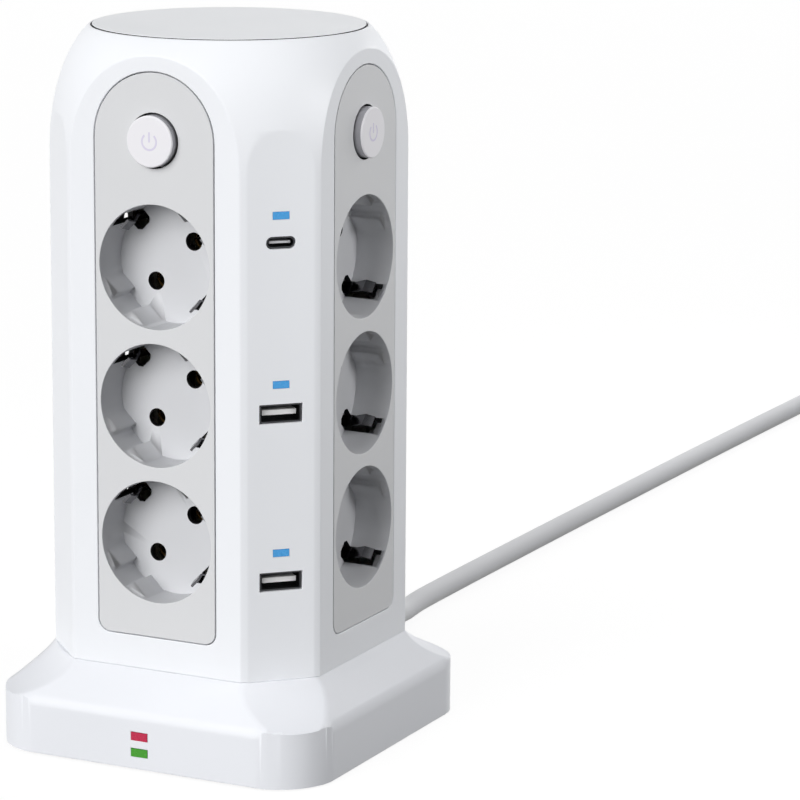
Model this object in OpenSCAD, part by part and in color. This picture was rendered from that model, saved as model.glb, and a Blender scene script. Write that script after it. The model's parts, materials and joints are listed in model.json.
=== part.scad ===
// Tower power strip: a square column with three earthed sockets and a push button on each
// of its four faces, USB outlets on one corner face, and a splayed base that holds the
// surge protection and the USB supply. A mains cord leaves at the back of the base.
// The floor is z = 0, the column's axis is x = y = 0 and the front looks along -Y.
// A face has its own frame: x to the right, y up from the floor, z out of the face.

/* [Column] */
// Width of the column across two opposite socket faces
column_w = 96.5; // [95.5:0.1:102]
// Width across two opposite corner faces
corner_w = 111.6; // [108:0.1:113]
// Diameter of the round body that shows as a strip between the faces
column_d = 113.5; // [113.2:0.1:118]
// Thickness of the column's wall
wall_t = 2.5; // [2:0.1:3]
// Height of the lid's top over the button's centre
top_rise = 30.9; // [29.5:0.1:34]
// Height of the rounded shoulder
shoulder_h = 38.9; // [34:0.1:41]
// Height of the ellipse that the shoulder follows
shoulder_curve_h = 43.2; // [42:0.1:50]
// Width of the ellipse that the shoulder follows
shoulder_curve_w = 22.3; // [19:0.1:24]

/* [Lid] */
// Diameter of the round lid
lid_d = 86.1; // [80:0.1:87]
// Thickness of the lid
lid_t = 2.4; // [1.8:0.1:3]
// Gap round the lid
lid_gap = 0.45; // [0.3:0.05:0.6]
// Width of the ledge that carries the lid
ledge_w = 4; // [3:0.1:6]
// Width of the lid's sloping rim
lid_rim_w = 10; // [6:0.1:14]
// How far the lid's rim falls towards its edge
lid_rim_drop = 0.7; // [0.3:0.1:1]

/* [Socket panels] */
// Diameter of a socket's well
well_d = 39; // [38.4:0.1:39.6]
// Depth of a socket's well
well_depth = 13; // [12:0.1:13.6]
// Thickness of a well's wall
well_wall_t = 1.5; // [1.2:0.1:1.7]
// Thickness of a well's floor
well_floor_t = 2; // [1.6:0.1:2.2]
// Panel left beside a well
panel_margin = 1.34; // [1:0.01:3]
// Gap round a panel
panel_gap = 0.35; // [0.2:0.05:0.5]
// Height of a panel's foot over the base
panel_sill = 10.8; // [8:0.1:20]
// Height of the lowest socket over the panel's foot
lowest_rise = 30.7; // [26:0.1:36]
// Distance between socket centres
socket_pitch = 43.5; // [42.8:0.1:48]
// Height of the button over the highest socket
button_rise = 39.3; // [38:0.1:44]
// Radius of a panel's lower corners
panel_foot_r = 3.9; // [2:0.1:6]

/* [Pin holes and guides] */
// Distance between the two pins of a plug
pin_pitch = 19; // [18:0.1:19.2]
// Diameter of a pin
pin_d = 4.8; // [4:0.1:4.8]
// Diameter of a pin hole
pin_hole_d = 5.8; // [5.4:0.1:6]
// Distance of the guide flats from a socket's centre
guide_reach = 16.9; // [16.2:0.1:18]
// Width of the notch between two guide flats
guide_notch_w = 7.2; // [6.6:0.1:9]
// Depth of the guide flats under the face
guide_drop = 2.7; // [1:0.05:4]

/* [Buttons] */
// Diameter of a button
button_d = 16; // [14:0.1:16.2]
// Diameter of a button's hole
button_hole_d = 17.2; // [16.8:0.1:18]
// How far a button stands proud
button_proud = 2.6; // [2:0.1:4]
// Travel of a button
button_travel = 2.5; // [1:0.1:3]

/* [USB corner] */
// Distance between the USB outlets
usb_pitch = 53.2; // [50:0.1:56]
// Height of a lamp over a USB-A outlet
lamp_rise_a = 9.1; // [8:0.1:12]
// Height of the lamp over the USB-C outlet
lamp_rise_c = 8.4; // [7:0.1:12]
// Width of a blue lamp
usb_lamp_w = 5.2; // [4:0.1:7]
// Height of a blue lamp
usb_lamp_h = 2.3; // [1.6:0.1:3]

/* [Base] */
// Width of the base
base_w = 116.7; // [114:0.1:124]
// Height of the base, where the column stands on it
base_h = 30.3; // [29.5:0.1:36]
// Height of the base's upright side
base_side_h = 18.1; // [16:0.1:18.6]
// Radius of the base's corners in plan
base_corner_r = 19.4; // [17:0.1:21]
// How far a scooped corner reaches out from the column
scoop_w = 18; // [17:0.1:20]
// Height of a scooped corner
scoop_h = 12.2; // [10:0.1:12.4]
// Height of the feet under the base
foot_proud = 0.6; // [0.4:0.1:2]
// Width of an indicator lamp
lamp_w = 5.8; // [4:0.1:7]
// Height of an indicator lamp
lamp_h = 2.6; // [2:0.1:3]
// Height of the upper, red lamp
red_lamp_z = 11.2; // [10.8:0.1:13]
// Height of the lower, green lamp
green_lamp_z = 5.9; // [5.7:0.1:6.2]
// Place of both lamps to the left of the middle
lamp_shift = 0.9; // [0:0.1:3]

/* [Cord] */
// Diameter of the mains cord
cord_d = 7.6; // [7:0.1:8]
// Height of the cord where it leaves the base
cord_exit_z = 10; // [9.6:0.1:10.4]
// Length of the strain relief behind the base
relief_l = 32; // [32:1:32]
// Diameter of the plug
plug_d = 36.8; // [36:0.1:37.6]
// Length of a plug pin
pin_l = 19; // [16:0.1:19]

/* [Hidden] */
FACES = ["front", "right", "rear", "left"];
FACE_PARTS = [
    "socket_panel", "button", "switch", "contact_cover",
    "live_rail", "neutral_rail", "earth_rail"
];
SINGLE_NODES = [
    "tower_shell", "top_lid", "base_housing", "base_plate", "rubber_feet", "base_screws",
    "case_screws", "usb_board", "usb_a_shells", "usb_a_inserts", "usb_c_shell",
    "usb_c_insert", "usb_light_guides", "power_board", "usb_transformer", "capacitors",
    "varistors", "line_fuse", "terminal_block", "indicator_board", "red_lamp",
    "green_lamp", "cord_clamp", "live_wires", "neutral_wires", "earth_wires",
    "strain_relief", "cord_run", "cord_coil", "plug_body", "plug_pins", "plug_earth_clips"
];
$fn = 72;

// Shared clearances and overruns
over = 1;
fit_gap = 0.2;
slide_gap = 0.3;
thread_gap = 0.05;

// Heights that the column's parts share
socket_count = 3;
panel_foot_z = base_h + panel_sill;
socket_zs = [for (k = [0:socket_count - 1]) panel_foot_z + lowest_rise + k * socket_pitch];
mid_socket_z = (socket_zs[0] + socket_zs[socket_count - 1]) / 2;
button_z = socket_zs[socket_count - 1] + button_rise;
total_h = button_z + top_rise;
shoulder_z = total_h - shoulder_h;
curve_steps = 18;

// Plan of the column
face_d = column_w / 2;
corner_d = corner_w / 2;
column_r = column_d / 2;
corner_face_d = min(corner_d, column_r);

// Panel flange and its ears
flange_lap = 3;
flange_t = 2;
panel_half = well_d / 2 + panel_margin;
flange_half = panel_half + flange_lap;
flange_back = wall_t + flange_t;
boss_l = 5;
boss_r = 3.5;
ear_t = 2;
ear_u = flange_half + boss_r + slide_gap;
ear_w = 8;
ear_back = wall_t + boss_l + ear_t;
ear_zs = [for (k = [0:socket_count - 2]) socket_zs[k] + socket_pitch / 2];

// Small screws
screw_r = 1.45;
screw_hole_r = screw_r + thread_gap;
screw_clear_r = 1.7;
screw_head_r = 2.8;
screw_head_h = 2;
screw_l = 6.2;

// Wells: the pin holes lie on a diagonal, and the earth slots on the other one
well_r = well_d / 2;
cup_r = well_r + well_wall_t;
cup_back = well_depth + well_floor_t;
turn = 45;
pin_off = pin_pitch / 2 * cos(turn);
slot_half = 3;
slot_chamfer = 1.2;
slot_in = 14.6;
slot_out = cup_r + 1.4 * fit_gap + over;
slot_top = 1.6;

// Posts for the contact cover, on the back of the panel
post_u = 17;
post_r = 3;
post_back = 24;
post_hole_l = 9;

// Contacts
sleeve_t = 0.7;
sleeve_bore_r = pin_d / 2 + thread_gap;
sleeve_r = sleeve_bore_r + sleeve_t;
sleeve_room = 3.8;
sleeve_l = 12.7;
sleeve_back = cup_back + sleeve_room + fit_gap + sleeve_l;
sleeve_slit = 0.6;
rail_t = 0.8;
rail_w = 5;
earth_t = 0.8;
earth_room = 5.2;
earth_w = 3.8;
earth_strip_w = 4;
earth_lap = 0.4;
earth_back = cup_back + earth_room + earth_t;
arm_out = 18.9;
arm_bow = 16.6;
arm_tip = 17.6;
arm_knee_depth = 11.5;
arm_bow_depth = 6;
arm_tip_depth = 3;
cover_t = 1.2;
cover_room = 2.1;
cover_half = pin_off + sleeve_r + cover_room + cover_t;
cover_front = earth_back + earth_lap + slide_gap * 3;
cover_back = sleeve_back + rail_t + 3.5 * fit_gap + cover_t;
cover_end = 9;
cover_ear_t = 2;
rail_tail = 4;
live_top_z = button_z + 2.4;
neutral_foot_z = panel_foot_z + rail_tail + rail_w;
earth_foot_z = neutral_foot_z - 4;

// Buttons and switches
button_r = button_d / 2;
button_flange_r = 9.2;
button_flange_t = 1.7;
button_ledge = 5;
guide_r = button_flange_r + slide_gap + 0.1;
guide_wall_t = 1.6;
guide_back = 11;
stem_r = 2;
stem_l = 13;
button_edge_r = 0.5;
switch_w = 14;
switch_l = 16;
switch_front = guide_back + 3;
switch_back = switch_front + switch_l;
switch_grip = 6;
blade_w = 4.8;
blade_t = 0.8;
blade_l = 3.6;
blade_u = pin_off - rail_w / 2 - blade_t / 2;

// USB corner, in the corner face's own frame
usb_z = mid_socket_z;
usb_a_zs = [usb_z - usb_pitch, usb_z];
usb_c_z = usb_z + usb_pitch;
lamp_zs = [for (z = usb_a_zs) z + lamp_rise_a];
usb_lamp_zs = concat(lamp_zs, [usb_c_z + lamp_rise_c]);
usb_a_hole = [14, 6.1];
usb_a_size = [13.1, 5.5];
usb_a_mouth = [12.5, 4.9];
usb_a_tongue = [10.9, 1.55];
usb_a_tongue_rise = 0.05;
usb_c_hole = [9.6, 3.9];
usb_c_size = [8.94, 3.26];
usb_c_mouth = [8.34, 2.66];
usb_c_tongue = [6.7, 0.7];
usb_recess = 0.8;
usb_tongue_recess = 1.6;
usb_mouth_l = 9;
board_t = 1.6;
usb_board_front = 17.6;
usb_board_w = 15;
usb_board_end = 8;
usb_boss_r = 3;
usb_boss_zs = [usb_z - usb_pitch / 2, usb_z + usb_pitch / 2];
usb_lead_d = 1.8;

// Base
base_half = base_w / 2;
base_wall_t = 2.5;
deck_t = 2.5;
deck_r = 41;
deck_z = base_h - deck_t;
base_foot_z = foot_proud;
skirt_rise = base_h - base_side_h;
skirt_run = base_half - face_d;
skirt_l = norm([skirt_run, skirt_rise]);
scoop_top_r = column_r;
// Bend of a scoop: 1 is a quarter ellipse and 2 a straight cone
scoop_bend = 1.54;
scoop_steps = 12;
plate_t = 2.4;
plate_gap = 0.25;
plate_top = base_foot_z + plate_t;
plate_half = base_half - base_wall_t - plate_gap;
plate_corner_r = base_corner_r - base_wall_t - plate_gap;
base_post_r = 4;
base_post_inset = 8.35;
base_post_run = 24.35;
base_post_at = [base_half - base_post_inset, base_half - base_post_run];
column_boss_u = 33.2;
column_boss_r = 4;
column_boss_l = 15;
column_boss_rib = 3;
base_screw_r = 1.6;
base_screw_hole_r = base_screw_r + thread_gap;
base_screw_clear_r = 1.9;
base_screw_head_r = 3.2;
base_screw_head_h = 1.3;
base_screw_l = 12;
rubber_r = 6.5;
rubber_t = 1.8;
rubber_inset = 22.35;
rubber_u = base_half - rubber_inset;

// Boards and parts in the base
pcb_rise = 5;
pcb_z = plate_top + pcb_rise;
pcb_top = pcb_z + board_t;
pcb_side_gap = 20.35;
pcb_front_gap = 24.35;
pcb_terminal_gap = 2;
pcb_inset = 5;
terminal_size = [24, 11, 11];
terminal_inset = 28.85;
terminal_y = base_half - terminal_inset;
terminal_hole_r = 1.7;
terminal_xs = [-6.5, 0, 6.5];
pcb_half_w = base_half - pcb_side_gap;
pcb_front = pcb_front_gap - base_half;
pcb_rear = terminal_y - terminal_size[1] / 2 - pcb_terminal_gap;
peg_r = 1.5;
peg_l = 3;
standoff_r = 3;
transformer_size = [18, 16, 15];
film_cap_size = [18, 8, 12];
bulk_cap_r = 5;
bulk_cap_h = 14;
bulk_cap_gap = 2;
film_cap_gap = 6;
varistor_r = 6.5;
varistor_t = 4.5;
varistor_gap = 3.5;
varistor_edge = 10;
varistor_lift = 1.5;
varistor_lead_r = 0.5;
varistor_lead_y = 3;
fuse_r = 2.6;
fuse_l = 20;
fuse_cap_l = 5;
fuse_cap_t = 0.3;
fuse_shift = 2;
lead_inset = 11;

// The parts stand in three rows across the board: fuse, transformer with varistors, capacitors
part_edge = 9;
row_ts = [2 * (fuse_r + fuse_cap_t), transformer_size[1], 2 * bulk_cap_r];
row_gap = (pcb_rear - pcb_front - row_ts[0] - row_ts[1] - row_ts[2]) / (len(row_ts) + 1);
fuse_at = [fuse_shift, pcb_front + row_gap + row_ts[0] / 2];
transformer_at = [
    part_edge + transformer_size[0] / 2 - pcb_half_w,
    fuse_at[1] + row_ts[0] / 2 + row_gap + row_ts[1] / 2
];
varistor_y = transformer_at[1];
varistor_xs = [for (k = [0:2]) pcb_half_w - varistor_edge - k * (varistor_t + varistor_gap)];
bulk_cap_y = transformer_at[1] + row_ts[1] / 2 + row_gap + row_ts[2] / 2;
bulk_cap_xs = [for (k = [0:1]) part_edge + bulk_cap_r - pcb_half_w + k * (2 * bulk_cap_r + bulk_cap_gap)];
film_cap_at = [bulk_cap_xs[1] + bulk_cap_r + film_cap_gap + film_cap_size[0] / 2, bulk_cap_y];
lead_r = (pcb_half_w - pcb_front) / sqrt(2) - lead_inset;
lamp_flange = 1;
lamp_flange_t = 1;
lamp_window_gap = 0.1;
led_r = 1.4;
led_l = 1.8;
indicator_half = 10;
indicator_h = 14;
rib_t = 0.8;
rib_h = 3;
rib_l = 4;
lamp_back = base_wall_t + lamp_flange_t;
indicator_y = -(base_half - lamp_back - fit_gap - led_l);

// Wires
wire_d = 2.6;
wire_sides = 8;
trunk_turn_z = base_h + 6;
splice_r = 5.5;
splice_l = 9;
wire_rise = 8;
core_spread = 2.7;
riser_l = 8;

// Strain relief and clamp, along the cord's axis
relief_flange_r = cord_exit_z - plate_top - slide_gap;
relief_flange_t = 2;
relief_neck_r = 5.4;
relief_hole_r = relief_neck_r + fit_gap;
relief_start_r = 6;
relief_tip_r = 4.9;
inner_cord_l = 12.4;
clamp_size = [26, 8, 3];
clamp_post_u = 9.5;
clamp_post_r = 3;
clamp_inset = 12;
cord_r = cord_d / 2;

// Plug, lying on its side with its pins towards -Y
plug_r = plug_d / 2;
plug_front_l = 16;
plug_flat = guide_reach - 0.4;
plug_rib_w = guide_notch_w - 0.8;
plug_guide_l = 12;
plug_back_rs = [plug_r * 0.97, plug_r * 0.86, plug_r * 0.62, plug_r * 0.43, plug_r * 0.34];
plug_back_ts = [19, 26, 36, 43, 48];
plug_l = 50;
plug_relief_l = 24;
plug_relief_r = 6;
plug_relief_tip_r = 5;
pin_embed = 10;
pin_root_t = 0.4;
pin_root_r = pin_d / 2 - pin_root_t;
pin_root_rise = 0.3;
pin_tip_r = 1.4;
clip_pocket = 2.2;
clip_pocket_w = 6.4;
clip_w = 4.6;
clip_t = 1;
clip_l = 11;

// Route of the cord that isn't coiled: it leaves the base, comes down and lies on the floor
cord_route = [
    [0, 90.35, 10], [0, 98, 10], [-0.8, 112, 8.6], [-3.2, 126, 5.8], [-5.8, 140, 3.9],
    [-7.2, 156, 3.8], [-7.4, 190, 3.8], [-7.2, 240, 3.8], [-6.8, 300, 3.8], [-6.2, 360, 3.8],
    [-5.5, 420, 3.8], [-4.5, 480, 3.8], [-3.5, 530, 3.8], [-3, 565, 3.8], [-3, 580, 3.8],
    [-3, 588, 3.8]
];
// The coil: it spirals in, climbs a layer in the half turn where it reverses and spirals out
coil_centre = [50.25, 602];
coil_start_r = 53.25;
coil_turns_in = 2.5;
coil_rings = 24;
coil_sides = 6;
coil_step = 8.1;
coil_floor_z = 3.8;
// The tail runs from the coil's top layer to the plug
tail_route = [
    [103.5, 594, 11.9], [103.5, 584, 12.9], [103.5, 573, 15.6], [103.5, 563, 17.8],
    [103.5, 555, 18.4], [103.5, 547, 18.4]
];
plug_at = [103.5, 547, 18.4];
run_sides = 10;
run_ring_step = 19;

// Places a face's own frame on face k, counted from the front to the right
module on_face(k) {
    rotate([0, 0, 90 * k]) translate([0, -face_d, 0]) rotate([90, 0, 0]) children();
}

// Places the frame of the corner face that carries the USB outlets
module on_corner() {
    rotate([0, 0, turn]) translate([0, -corner_face_d, 0]) rotate([90, 0, 0]) children();
}

// Eight-sided plan of the column, drawn in by inset
module column_plan(inset) {
    a = face_d - inset;
    e = sqrt(2) * (corner_d - inset) - a;
    polygon([[e, -a], [a, -e], [a, e], [e, a], [-e, a], [-a, e], [-a, -e], [-e, -a]]);
}

// Half outline of the round body, drawn in by inset and closed at top_z
module column_profile(inset, top_z) {
    curve_h = shoulder_curve_h - inset;
    top_angle = asin((top_z - shoulder_z) / curve_h);
    r = column_r - inset;
    polygon(concat(
        [[0, base_h], [r, base_h]],
        [for (k = [0:curve_steps]) let (a = top_angle * k / curve_steps)
            [r - shoulder_curve_w * (1 - cos(a)), shoulder_z + curve_h * sin(a)]],
        [[0, top_z]]
    ));
}

// Solid of the column's outside or of its hollow
module column_solid(inset, top_z) {
    intersection() {
        rotate_extrude() column_profile(inset, top_z);
        translate([0, 0, base_h - over]) linear_extrude(top_z - base_h + 2 * over) column_plan(inset);
    }
}

// Arched outline of a panel, in the face's frame
module arch(grow) {
    half = panel_half + grow;
    foot = panel_foot_z - grow;
    r = panel_foot_r + grow;
    translate([0, button_z]) circle(half);
    translate([-half, foot + r]) square([2 * half, button_z - foot - r]);
    translate([r - half, foot]) square([2 * (half - r), r]);
    for (s = [-1, 1]) translate([s * (half - r), foot + r]) circle(r);
}

// Rounded rectangle with full round ends
module stadium(size) {
    r = size[1] / 2;
    square([size[0] - 2 * r, size[1]], center = true);
    for (s = [-1, 1]) translate([s * (size[0] / 2 - r), 0]) circle(r);
}

// Square with round corners
module round_square(half, r) {
    square([2 * half, 2 * (half - r)], center = true);
    square([2 * (half - r), 2 * half], center = true);
    for (x = [-1, 1], y = [-1, 1]) translate([x * (half - r), y * (half - r)]) circle(r);
}

// Wire through a list of points that lie in one upright plane
function plane_normal(a, b) = [b[1] - a[1], a[0] - b[0], 0];
module upright_wire(points, d) {
    tube(points, d / 2, wire_sides, plane_normal(points[0], points[len(points) - 1]));
}

// Screw along -Z with its head on z = 0
module screw(shank_r, shank_l, head_r, head_h) {
    cylinder(r = head_r, h = head_h);
    translate([0, 0, -shank_l]) cylinder(r = shank_r, h = shank_l);
}

// Copies something to both sides at each height in a list
module at_pairs(u, zs) {
    for (s = [-1, 1], z = zs) translate([s * u, z, 0]) children();
}

// Column shell
module tower_shell() {
    lid_seat = total_h - lid_t;
    ceiling = lid_seat - lid_t;
    recess_r = lid_d / 2 + lid_gap;
    color("whitesmoke") {
        difference() {
            column_solid(0, total_h);
            column_solid(wall_t, ceiling);
            translate([0, 0, base_h - over]) cylinder(r = deck_r, h = 2 * over);
            translate([0, 0, ceiling - over]) cylinder(r = recess_r - ledge_w, h = lid_t + 2 * over);
            translate([0, 0, lid_seat]) cylinder(r = recess_r, h = lid_t + over);
            for (k = [0:3]) on_face(k)
                translate([0, 0, -wall_t - over]) linear_extrude(wall_t + 2 * over) arch(panel_gap);
            on_corner() translate([0, 0, -wall_t - over]) linear_extrude(wall_t + 2 * over) {
                for (z = usb_a_zs) translate([0, z]) square(usb_a_hole, center = true);
                translate([0, usb_c_z]) stadium(usb_c_hole);
                for (z = usb_lamp_zs) translate([0, z])
                    square([usb_lamp_w + fit_gap, usb_lamp_h + fit_gap], center = true);
            }
        }
        for (k = [0:3]) {
            on_face(k) at_pairs(ear_u, ear_zs) panel_boss();
            rotate([0, 0, 90 * k]) column_boss();
        }
        on_corner() for (z = usb_boss_zs) translate([0, z, 0]) usb_boss();
    }
}

// Boss inside the wall that takes one panel screw
module panel_boss() {
    translate([0, 0, -wall_t - boss_l]) difference() {
        cylinder(r = boss_r, h = boss_l + wall_t / 2);
        translate([0, 0, -over]) cylinder(r = screw_hole_r, h = boss_l + over);
    }
}

// Boss at a corner that takes a screw from the base
module column_boss() {
    reach = corner_face_d - wall_t / 2 - column_boss_u * sqrt(2);
    difference() {
        union() {
            translate([column_boss_u, -column_boss_u, base_h])
                cylinder(r = column_boss_r, h = column_boss_l);
            translate([column_boss_u, -column_boss_u, base_h]) rotate([0, 0, -turn])
                translate([0, -column_boss_rib / 2, 0]) cube([reach, column_boss_rib, column_boss_l]);
        }
        translate([column_boss_u, -column_boss_u, base_h - over])
            cylinder(r = base_screw_hole_r, h = column_boss_l);
    }
}

// Boss inside the corner face that carries the USB board
module usb_boss() {
    translate([0, 0, -usb_board_front]) difference() {
        cylinder(r = usb_boss_r, h = usb_board_front - wall_t / 2);
        translate([0, 0, -over]) cylinder(r = screw_hole_r, h = screw_l + over);
    }
}

// Round lid with four snap hooks
module top_lid() {
    lid_seat = total_h - lid_t;
    hole_r = lid_d / 2 + lid_gap - ledge_w;
    hook_t = 1.6;
    barb = 1.1;
    hook_r = hole_r - fit_gap;
    catch_z = lid_seat - lid_t - fit_gap;
    color("gainsboro") {
        rotate_extrude() polygon([
            [0, lid_seat], [lid_d / 2, lid_seat], [lid_d / 2, total_h - lid_rim_drop],
            [lid_d / 2 - lid_rim_w, total_h], [0, total_h]
        ]);
        for (k = [0:3]) rotate([90, 0, 90 * k + turn]) translate([0, 0, -hook_t * 2])
            linear_extrude(hook_t * 4) polygon([
                [hook_r - hook_t, lid_seat + lid_t / 2], [hook_r, lid_seat + lid_t / 2],
                [hook_r, catch_z], [hook_r + barb, catch_z],
                [hook_r, catch_z - 2 * barb], [hook_r - hook_t, catch_z - 2 * barb]
            ]);
    }
}

// Guide flats at both ends of a well's pin diagonal, each with a notch in its middle
module guide_flats() {
    for (s = [0, 180]) rotate([0, 0, s]) difference() {
        translate([guide_reach, -well_r, -well_depth - over])
            cube([well_r, 2 * well_r, well_depth + over - guide_drop]);
        translate([guide_reach - over, -guide_notch_w / 2, -well_depth - 2 * over])
            cube([well_r + 2 * over, guide_notch_w, well_depth + 3 * over]);
    }
}

// Everything that is cut out of the panel at one socket
module well_cuts() {
    difference() {
        translate([0, 0, -well_depth]) cylinder(r = well_r, h = well_depth + over);
        guide_flats();
    }
    for (s = [-1, 1]) translate([s * pin_pitch / 2, 0, -cup_back - over])
        cylinder(d = pin_hole_d, h = well_floor_t + 2 * over);
    for (s = [0, 180]) rotate([0, 0, s]) translate([0, 0, -cup_back - over])
        linear_extrude(cup_back + over - slot_top) polygon([
            [-slot_half, slot_out], [-slot_half, slot_in + slot_chamfer],
            [slot_chamfer - slot_half, slot_in], [slot_half - slot_chamfer, slot_in],
            [slot_half, slot_in + slot_chamfer], [slot_half, slot_out]
        ]);
}

// Arched panel: one moulding with its wells, button guide, switch frame, posts and ears
module socket_panel(k) {
    frame_w = switch_w + fit_gap + 2 * guide_wall_t;
    color("lightgray") on_face(k) difference() {
        union() {
            translate([0, 0, -wall_t]) linear_extrude(wall_t) arch(0);
            translate([0, 0, -flange_back]) linear_extrude(flange_t) arch(flange_lap);
            for (z = socket_zs) translate([0, z, -cup_back]) cylinder(r = cup_r, h = cup_back - wall_t / 2);
            translate([0, button_z, -guide_back])
                cylinder(r = guide_r + guide_wall_t, h = guide_back - wall_t / 2);
            translate([-frame_w / 2, button_z - frame_w / 2, -switch_front - switch_grip])
                cube([frame_w, frame_w, switch_front + switch_grip - guide_back + over]);
            at_pairs(post_u, ear_zs) translate([0, 0, -post_back])
                cylinder(r = post_r, h = post_back - wall_t);
            for (z = ear_zs, s = [-1, 1]) translate([0, z, 0]) panel_ear(s);
        }
        for (z = socket_zs) translate([0, z, 0]) rotate([0, 0, turn]) well_cuts();
        translate([0, button_z, -guide_back]) cylinder(d = button_hole_d, h = guide_back + over);
        translate([0, button_z, -guide_back]) cylinder(r = guide_r, h = guide_back - button_ledge);
        translate([0, button_z, -switch_front - over]) cylinder(r = switch_w / 3, h = guide_back);
        translate([-switch_w / 2 - fit_gap / 2, button_z - switch_w / 2 - fit_gap / 2,
                -switch_front - switch_grip - over])
            cube([switch_w + fit_gap, switch_w + fit_gap, switch_grip + over]);
        at_pairs(post_u, ear_zs) translate([0, 0, -post_back - over])
            cylinder(r = screw_hole_r, h = post_hole_l + over);
        at_pairs(ear_u, ear_zs) translate([0, 0, -ear_back - over])
            cylinder(r = screw_clear_r, h = ear_t + 2 * over);
    }
}

// Stepped ear on the panel's flange, on side s
module panel_ear(s) {
    rise = ear_back - wall_t;
    scale_x = s < 0 ? 1 : 0;
    mirror([scale_x, 0, 0]) {
        translate([-flange_half, -ear_w / 2, -ear_back]) cube([flange_t, ear_w, rise]);
        translate([-ear_u, -ear_w / 2, -ear_back]) cube([ear_u - flange_half + over, ear_w, ear_t]);
        translate([-ear_u, 0, -ear_back]) cylinder(d = ear_w, h = ear_t);
    }
}

// Push button: cap, retaining flange and stem
module button(k) {
    color("white") on_face(k) translate([0, button_z, 0]) rotate_extrude() polygon(concat(
        [[0, button_proud], [button_r - button_edge_r, button_proud]],
        [for (a = [15:15:90]) [button_r - button_edge_r * (1 - sin(a)),
            button_proud - button_edge_r * (1 - cos(a))]],
        [[button_r, -button_ledge - slide_gap], [button_flange_r, -button_ledge - slide_gap],
            [button_flange_r, -button_ledge - slide_gap - button_flange_t],
            [stem_r, -button_ledge - slide_gap - button_flange_t],
            [stem_r, -button_ledge - slide_gap - button_flange_t - stem_l],
            [0, -button_ledge - slide_gap - button_flange_t - stem_l]]
    ));
}

// Switch body with the bore for the button's stem and two blade terminals
module switch_body(k) {
    bore_l = button_flange_t + stem_l + button_travel;
    color("dimgray") on_face(k) translate([0, button_z, 0]) difference() {
        union() {
            translate([-switch_w / 2, -switch_w / 2, -switch_back]) cube([switch_w, switch_w, switch_l]);
            for (s = [-1, 1]) translate([s * blade_u - blade_t / 2, -blade_w / 2, -switch_back - blade_l])
                cube([blade_t, blade_w, blade_l + over]);
        }
        translate([0, 0, -button_ledge - bore_l - over])
            cylinder(r = stem_r + slide_gap, h = bore_l + over);
    }
}

// Insulating channel behind the contacts, with an ear at each post
module contact_cover(k) {
    foot = socket_zs[0] - pin_off - sleeve_r - cover_end;
    top = socket_zs[socket_count - 1] + pin_off + sleeve_r + cover_end;
    color("beige") on_face(k) difference() {
        union() {
            translate([-cover_half, foot, -cover_back])
                cube([2 * cover_half, top - foot, cover_back - cover_front]);
            for (z = ear_zs, s = [-1, 1]) translate([0, z, -post_back - cover_ear_t]) {
                translate([s < 0 ? -post_u : 0, -post_r, 0]) cube([post_u, 2 * post_r, cover_ear_t]);
                translate([s * post_u, 0, 0]) cylinder(r = post_r, h = cover_ear_t);
            }
        }
        translate([cover_t - cover_half, foot - over, cover_t - cover_back])
            cube([2 * (cover_half - cover_t), top - foot + 2 * over, cover_back]);
        at_pairs(post_u, ear_zs) translate([0, 0, -post_back - cover_ear_t - over])
            cylinder(r = screw_clear_r, h = cover_ear_t + 2 * over);
    }
}

// Slit sleeve that grips one plug pin
module sleeve() {
    translate([0, 0, -sleeve_back]) difference() {
        cylinder(r = sleeve_r, h = sleeve_l);
        translate([0, 0, -over]) cylinder(r = sleeve_bore_r, h = sleeve_l + 2 * over);
        translate([-sleeve_r - over, -sleeve_slit / 2, sleeve_l / 4])
            cube([2 * (sleeve_r + over), sleeve_slit, sleeve_l]);
    }
}

// Rail from foot to top with one sleeve a socket, on side s of the face's middle
module rail(s, foot, top) {
    for (z = socket_zs) translate([s * pin_off, z + s * pin_off, 0]) sleeve();
    translate([s * pin_off - rail_w / 2, foot, -sleeve_back - rail_t]) cube([rail_w, top - foot, rail_t]);
}

// Live rail, which runs up to the switch
module live_rail(k) {
    color("goldenrod") on_face(k) rail(1, socket_zs[0] + pin_off - rail_tail, live_top_z);
}

// Neutral rail, which runs down to the wires
module neutral_rail(k) {
    color("goldenrod") on_face(k)
        rail(-1, neutral_foot_z, socket_zs[socket_count - 1] - pin_off + rail_tail);
}

// Earth bow of one socket: a strip behind the floor and two sprung arms through the slots
module earth_bow() {
    rotate([90, 0, 90]) translate([0, 0, -earth_w / 2]) linear_extrude(earth_w) {
        translate([-arm_out, -earth_back]) square([2 * arm_out, earth_t]);
        for (s = [0, 1]) mirror([s, 0]) polygon([
            [arm_out, -earth_back], [arm_out, -arm_knee_depth], [arm_bow, -arm_bow_depth],
            [arm_tip, -arm_tip_depth], [arm_tip - earth_t, -arm_tip_depth],
            [arm_bow - earth_t, -arm_bow_depth], [arm_out - earth_t, -arm_knee_depth],
            [arm_out - earth_t, -earth_back]
        ]);
    }
}

// Earth rail: the three bows of a face on one strip
module earth_rail(k) {
    top = socket_zs[socket_count - 1] + earth_strip_w;
    color("silver") on_face(k) {
        for (z = socket_zs) translate([0, z, 0]) rotate([0, 0, turn]) earth_bow();
        translate([-earth_strip_w / 2, earth_foot_z, -earth_back - earth_lap])
            cube([earth_strip_w, top - earth_foot_z, earth_t]);
    }
}

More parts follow.
